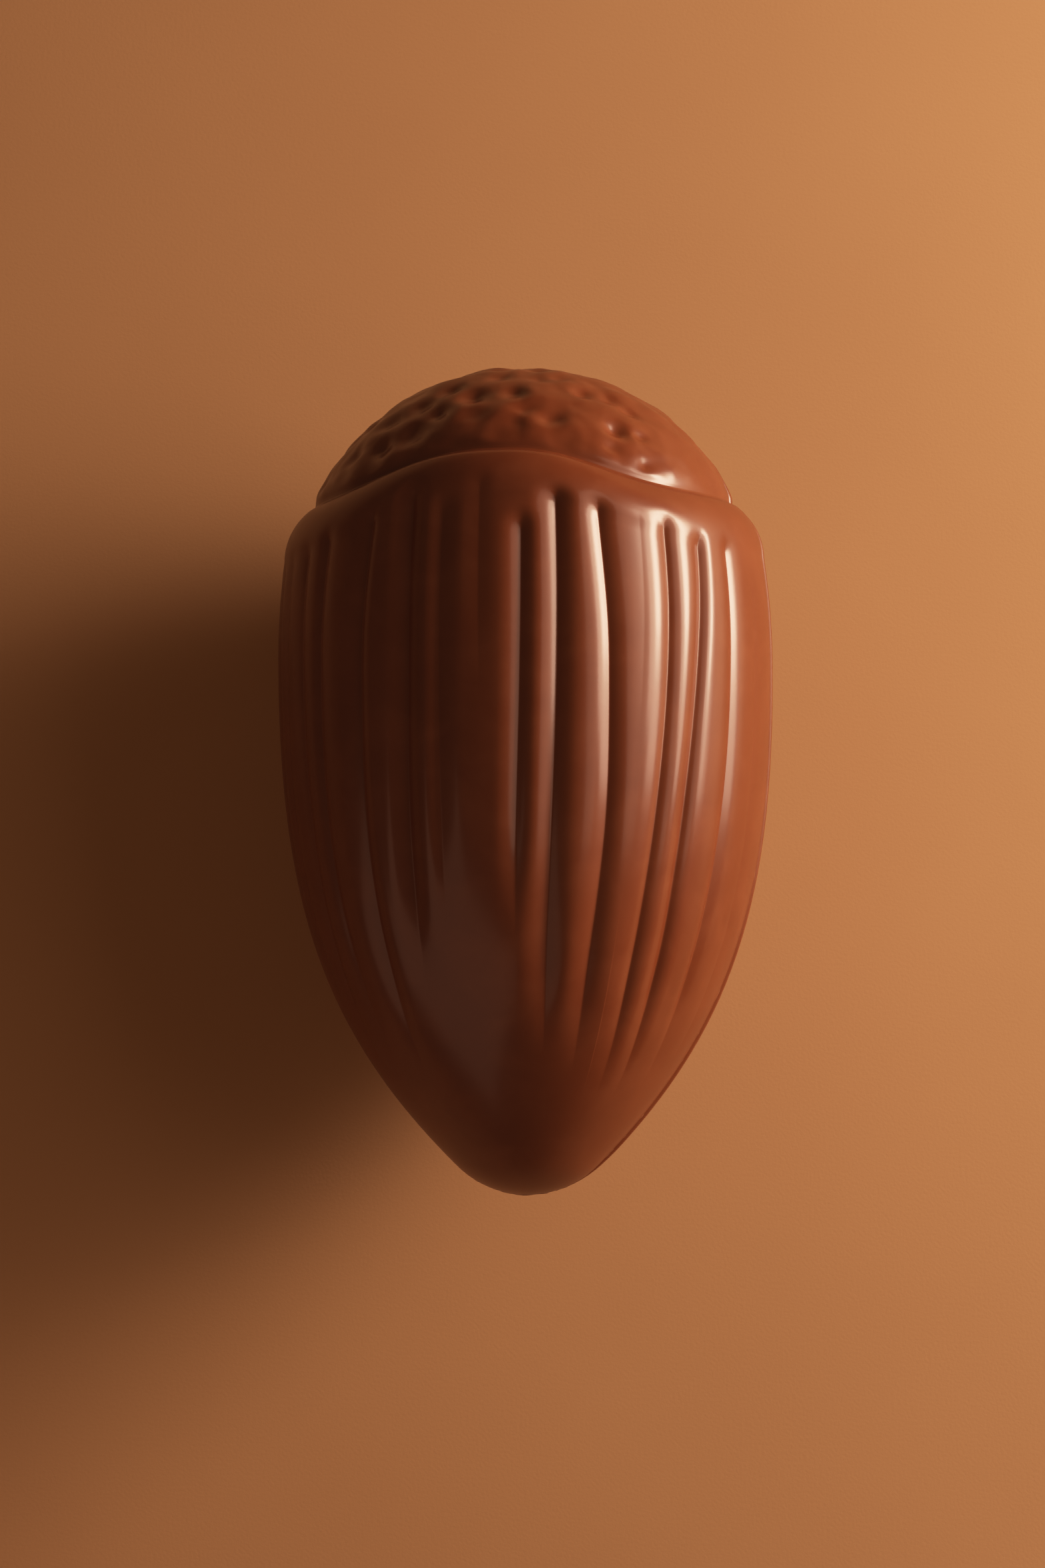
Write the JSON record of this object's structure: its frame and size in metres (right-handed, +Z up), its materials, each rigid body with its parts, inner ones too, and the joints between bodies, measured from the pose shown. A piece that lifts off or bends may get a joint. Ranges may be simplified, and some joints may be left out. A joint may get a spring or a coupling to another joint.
{
  "type": "chocolate egg",
  "caption": "Moulded milk chocolate egg shaped like a nut, with a fluted body, a smooth blunt tip, a stepped rim and a knobbly dome, lying on its side.",
  "frame": {"origin": "middle of the egg's box, on the surface it lies on", "axes": "+Y along the egg towards its knobbly dome, +X to the right with the tip nearest, +Z up"},
  "size_m": [0.0896, 0.1504, 0.0893],
  "materials": {
    "chocolate": "satin gloss milk chocolate"
  },
  "bodies": {
    "root": {"chocolate_egg": "chocolate"}
  },
  "joints": []
}
